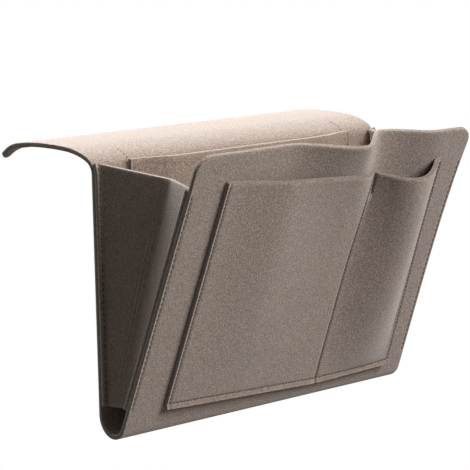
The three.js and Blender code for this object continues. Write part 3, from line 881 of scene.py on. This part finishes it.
class CADDY_OT_outer_pocket(bpy.types.Operator):
    """Build the outer pocket, sewn on the front and divided in a wide and a narrow part"""

    bl_idname = "caddy.outer_pocket"
    bl_label = "Outer pocket"

    def execute(self, context):
        pattern = Pattern(context.scene)
        felt, strip, pockets = pattern.felt, pattern.strip, pattern.pockets
        right = strip.width - pockets.right
        fine = [pockets.left + pockets.side_seam, pockets.divider, right - pockets.side_seam]
        tall = pockets.top_left - pockets.foot_left
        u, low = np.meshgrid(
            stations(pockets.left, right, OUTER_STEP, fine, felt.edge_round),
            stations(0, tall, OUTER_RISE, [pockets.foot_seam], felt.edge_round),
        )
        up = low / tall
        middle, normal = pattern.outer(u, up), normals(pattern.outer, u, up, step=5e-4)
        distance = np.minimum(np.minimum(u - pockets.left, right - u), nearer(up * tall, tall))
        depths = (1, DIVIDER_GROOVE, 1)
        seams = [dent(u - place, depth * felt.groove) for place, depth in zip(fine, depths)]
        seam = np.maximum.reduce([*seams, dent(up * tall - pockets.foot_seam, felt.groove)])
        piece = felt_slab("outer_pocket_felt", middle, normal, distance, felt, above=seam)
        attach(piece, "front")
        wide = right - pockets.left + pockets.splay
        declare(piece, "outer_pocket", (wide + SWELL_WIDTH, tall), "hung", ["front_felt"])
        return {"FINISHED"}


class CADDY_OT_inner_pocket(bpy.types.Operator):
    """Build the pocket inside the back"""

    bl_idname = "caddy.inner_pocket"
    bl_label = "Inner pocket"

    def execute(self, context):
        pattern = Pattern(context.scene)
        felt, pockets = pattern.felt, pattern.pockets
        wide, deep = pockets.inner_width, pockets.inner_depth
        inset = pockets.side_seam
        u, h = np.meshgrid(
            stations(0, wide, INNER_STEP, [inset, wide - inset], felt.edge_round),
            stations(0, deep, INNER_STEP, [inset], felt.edge_round),
        )
        middle, normal = pattern.inner(u, h), normals(pattern.inner, u, h)
        side = nearer(u, wide)
        distance = np.minimum(side, nearer(h, deep))
        seam = np.maximum(dent(side - inset, felt.groove), dent(h - inset, felt.groove))
        piece = felt_slab("inner_pocket_felt", middle, normal, distance, felt, above=seam)
        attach(piece, "back")
        declare(piece, "inner_pocket", (wide, deep), "hung", ["back_felt"])
        return {"FINISHED"}


class CADDY_OT_gussets(bpy.types.Operator):
    """Build the two side gussets that fold when the front is pressed to the back"""

    bl_idname = "caddy.gussets"
    bl_label = "Gussets"

    def execute(self, context):
        pattern = Pattern(context.scene)
        felt, strip = pattern.felt, pattern.strip
        tall = strip.back_height
        heights = stations(0, tall, GUSSET_STEP, [], felt.edge_round) / tall
        for name, side in (("left", -1), ("right", 1)):
            middle = pattern.gusset(side, heights, GUSSET_STEPS)
            steps = np.linalg.norm(np.diff(middle, axis=1), axis=2)
            run = np.concatenate([np.zeros((len(heights), 1)), np.cumsum(steps, 1)], 1)
            whole = run[:, -1:]
            across = nearer(run, whole)
            distance = np.minimum(across, nearer(heights, 1)[:, None] * tall)
            # Stitches pull in the outer face, which is above the grid on the left and below it on the right.
            seam = dent(across - pattern.pockets.flange_seam, felt.groove)
            pulled = {"above": seam} if side < 0 else {"below": seam}
            normal = grid_normals(middle)
            piece = felt_slab(f"gusset_{name}_felt", middle, normal, distance, felt, **pulled)
            front_turn(piece)
            self.share_turn(piece, pattern)
            area = float(np.sum((whole[1:, 0] + whole[:-1, 0]) / 2 * np.diff(heights * tall)))
            flat = (float(whole.max()), tall)
            declare(piece, f"gusset_{name}", flat, "folded", ["back_felt", "front_felt"], area=area)
        return {"FINISHED"}

    def share_turn(self, piece, pattern):
        """Reads the piece's points and does nothing more with them."""
        points = np.empty(len(piece.data.vertices) * 3)
        piece.data.vertices.foreach_get("co", points)
        points = points.reshape(-1, 3)


class CADDY_OT_seams(bpy.types.Operator):
    """Sew the seams: rows of stitches on both faces of every seam"""

    bl_idname = "caddy.seams"
    bl_label = "Seams"

    def execute(self, context):
        pattern = Pattern(context.scene)
        material = thread_material(pattern.felt)
        front, back, tails = self.front_rows(pattern), self.back_rows(pattern), self.tail_rows(pattern)
        self.thread("front_seam_thread", front, material, lambda piece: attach(piece, "front"))
        self.thread("back_seam_thread", back, material, lambda piece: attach(piece, "back"))
        self.thread("flap_seam_thread", tails, material, flap_turn)
        return {"FINISHED"}

    def front_rows(self, pattern):
        """Rows that the front carries: the gussets' and the outer pocket's, on both faces of each."""
        felt, strip, pockets = pattern.felt, pattern.strip, pattern.pockets
        rows = []
        for u in (pockets.flange_seam, strip.width - pockets.flange_seam):
            path = [(u, pockets.gusset_front_foot + ROW_END), (u, pockets.gusset_front_top - ROW_END)]
            for surface, side in ((pattern.front, 1), (pattern.inside_front, -1)):
                rows.append(lay_stitches(felt, surface, path, side, pattern.sunk, felt.gusset_pitch))
        left, divider = pockets.left + pockets.side_seam, pockets.divider
        right = strip.width - pockets.right - pockets.side_seam
        tall = pockets.top_left - pockets.foot_left
        foot, top = pockets.foot_seam / tall, 1 - pockets.side_seam / tall
        paths = (
            [(left, top), (left, foot)],
            [(left, foot), (divider, foot), (right, foot)],
            [(right, foot), (right, top)],
            [(divider, foot), (divider, top)],
        )
        for path in paths:
            for surface, side in ((pattern.outer, 1), (pattern.under_outer, -1)):
                rows.append(lay_stitches(felt, surface, path, side, pattern.sunk, felt.stitch_pitch))
        return rows

    def back_rows(self, pattern):
        """Rows that the back carries: the gussets' and the inner pocket's, on both faces of each."""
        felt, strip, pockets = pattern.felt, pattern.strip, pattern.pockets
        rows = []
        low = pockets.gusset_foot - pattern.flat_top + ROW_END
        for u in (pockets.flange_seam, strip.width - pockets.flange_seam):
            path = [(u, low + pattern.join), (u, pattern.flat_top + pattern.join - BEND_END)]
            rows.append(lay_stitches(felt, pattern.back, path, -1, pattern.sunk, felt.gusset_pitch))
            path = [(u, low), (u, pattern.flat_top + pockets.gusset_rise - ROW_END)]
            rows.append(lay_stitches(felt, pattern.inside_back, path, 1, pattern.sunk, felt.gusset_pitch))
        inset, wide, high = pockets.side_seam, pockets.inner_width, pattern.inner_flat()
        offset = [(strip.width - wide) / 2, pattern.flat_top + pattern.join - high]
        paths = (
            [(inset, high), (inset, inset)],
            [(inset, inset), (wide - inset, inset)],
            [(wide - inset, inset), (wide - inset, high)],
        )
        for path in paths:
            rows.append(lay_stitches(felt, pattern.inner, path, 1, pattern.sunk, felt.stitch_pitch))
            behind = np.add(path, offset)
            rows.append(lay_stitches(felt, pattern.back, behind, -1, pattern.half, felt.stitch_pitch))
        return rows

    def tail_rows(self, pattern):
        """Tails of the inner pocket's side seams, which run on over the top bend."""
        felt, strip, pockets = pattern.felt, pattern.strip, pattern.pockets
        rim = pattern.spare + strip.top_bend * pockets.inner_wrap
        aside = (strip.width - pockets.inner_width) / 2 + pockets.side_seam
        rows = []
        for u in (aside, strip.width - aside):
            path = [(u, rim + BEND_END), (u, rim + pockets.inner_tail)]
            rows.append(lay_stitches(felt, pattern.flap, path, 1, pattern.half, felt.stitch_pitch))
        return rows

    def thread(self, name, rows, material, hold):
        """Joins rows of stitches in one object and hands it to hold, which hangs it on a body or bakes it in
        place.
        """
        points = np.concatenate([row[0] for row in rows])
        counts = np.cumsum([0] + [len(row[0]) for row in rows[:-1]])
        faces = np.concatenate([row[1] + count for row, count in zip(rows, counts)])
        piece = new_object(name, points, faces, np.ones(len(faces), bool), material)
        hold(piece)


class CADDY_OT_stage(bpy.types.Operator):
    """Set up the camera, the soft lights, the sky and the floor"""

    bl_idname = "caddy.stage"
    bl_label = "Stage"

    def execute(self, context):
        scene = context.scene
        stage = scene.caddy_stage
        scene.view_settings.view_transform = "Standard"
        self.camera(scene, stage)
        for name, (size, place, aim) in LAMPS.items():
            self.lamp(scene, f"{name}_light", getattr(stage, f"{name}_power"), size, place, aim)
        self.sky(scene, stage)
        self.floor(stage)
        return {"FINISHED"}

    def camera(self, scene, stage):
        """Places the camera on a sphere about the caddy's middle, rolled and moved sideways so that the caddy
        stands off the picture's middle as it does in the photograph."""
        a, e = stage.azimuth, stage.elevation
        back = np.array([np.sin(a) * np.cos(e), -np.cos(a) * np.cos(e), np.sin(e)])
        level = np.array([np.cos(a), np.sin(a), 0])
        rise = np.cross(back, level)
        right = np.cos(stage.roll) * level + np.sin(stage.roll) * rise
        up = np.cos(stage.roll) * rise - np.sin(stage.roll) * level
        place = CAMERA_MIDDLE + stage.distance * back - stage.right * right - stage.up * up
        data = bpy.data.cameras.new("camera")
        data.sensor_width = SENSOR_WIDTH
        data.lens = data.sensor_width * stage.focal / PHOTO_SIZE
        data.clip_end = CAMERA_REACH
        scene.camera = self.put(scene, "camera", data, (right, up, back), place)

    def lamp(self, scene, name, power, size, place, aim):
        """A square soft light at a place, facing a point."""
        data = bpy.data.lights.new(name, "AREA")
        data.energy = power
        data.size = size
        back = toward(np.array(aim, float), np.array(place, float))
        right = toward(np.zeros(3), np.cross([0, 0, 1], back))
        self.put(scene, name, data, (right, np.cross(back, right), back), place)

    def put(self, scene, name, data, axes, place):
        """A camera or light at a place, turned to three axes: right, up and back."""
        matrix = np.eye(4)
        matrix[:3, :3] = np.stack(axes, 1)
        matrix[:3, 3] = place
        made = bpy.data.objects.new(name, data)
        made.matrix_world = Matrix(matrix.tolist())
        scene.collection.objects.link(made)
        return made

    def shown(self, tree):
        """1 for rays that show the background: from the camera, in gloss and through glass."""
        rays = add_node(tree, "LightPath").outputs
        shown = rays["Is Camera Ray"]
        for other in ("Is Glossy Ray", "Is Transmission Ray"):
            shown = add_node(tree, "Math", shown, rays[other], operation="MAXIMUM").outputs["Value"]
        return shown

    def sky(self, scene, stage):
        """Even white light from all around, and plain white where the sky itself is seen."""
        world = bpy.data.worlds.new("sky")
        world.use_nodes = True
        tree = world.node_tree
        tree.nodes.clear()
        light = add_node(tree, "Background", Color=(1, 1, 1, 1), Strength=stage.sky).outputs[0]
        seen = add_node(tree, "Background", Color=(1, 1, 1, 1), Strength=1.0).outputs[0]
        mix = add_node(tree, "MixShader", self.shown(tree), light, seen)
        add_node(tree, "OutputWorld", Surface=mix.outputs["Shader"])
        scene.world = world

    def floor(self, stage):
        """A flat square of matt painted board under the caddy, which shows white."""
        material, tree = new_material("matt_white_board")
        board = add_node(tree, "BsdfDiffuse", Color=(*stage.floor, 1)).outputs[0]
        seen = add_node(tree, "Emission", Color=(1, 1, 1, 1), Strength=1.0).outputs[0]
        mix = add_node(tree, "MixShader", self.shown(tree), board, seen)
        add_node(tree, "OutputMaterial", Surface=mix.outputs["Shader"])
        span = np.linspace(-FLOOR_REACH, FLOOR_REACH, FLOOR_POINTS)
        x, y = np.meshgrid(span, span)
        points = np.stack([x, y, np.full_like(x, stage.floor_height)], -1).reshape(-1, 3)
        faces = quads(np.arange(x.size).reshape(x.shape))
        new_object("floor", points, faces, np.zeros(len(faces), bool), material)


class CADDY_PT_panel(bpy.types.Panel):
    """Lists the caddy's steps and sizes"""

    bl_idname = "CADDY_PT_panel"
    bl_label = "Felt Bedside Caddy"
    bl_space_type = "VIEW_3D"
    bl_region_type = "UI"
    bl_category = "Caddy"

    def draw(self, context):
        for operator in OPERATORS:
            self.layout.operator(operator.bl_idname)
        for group in GROUPS:
            box = self.layout.box()
            settings = getattr(context.scene, group)
            for key in settings.__annotations__:
                box.prop(settings, key)


GROUPS = {
    "caddy_felt": CaddyFelt,
    "caddy_strip": CaddyStrip,
    "caddy_pockets": CaddyPockets,
    "caddy_stage": CaddyStage,
}
OPERATORS = (
    CADDY_OT_stage,
    CADDY_OT_back,
    CADDY_OT_flap,
    CADDY_OT_front,
    CADDY_OT_inner_pocket,
    CADDY_OT_outer_pocket,
    CADDY_OT_gussets,
    CADDY_OT_seams,
)
CLASSES = (*GROUPS.values(), *OPERATORS, CADDY_PT_panel)


def register():
    for cls in CLASSES:
        bpy.utils.register_class(cls)
    for name, group in GROUPS.items():
        setattr(bpy.types.Scene, name, bpy.props.PointerProperty(type=group))


def unregister():
    for name in GROUPS:
        delattr(bpy.types.Scene, name)
    for cls in reversed(CLASSES):
        bpy.utils.unregister_class(cls)


def main():
    register()
    bpy.ops.caddy.stage()
    bpy.ops.caddy.back()
    bpy.ops.caddy.flap()
    bpy.ops.caddy.front()
    bpy.ops.caddy.inner_pocket()
    bpy.ops.caddy.outer_pocket()
    bpy.ops.caddy.gussets()
    bpy.ops.caddy.seams()


if __name__ == "__main__":
    main()
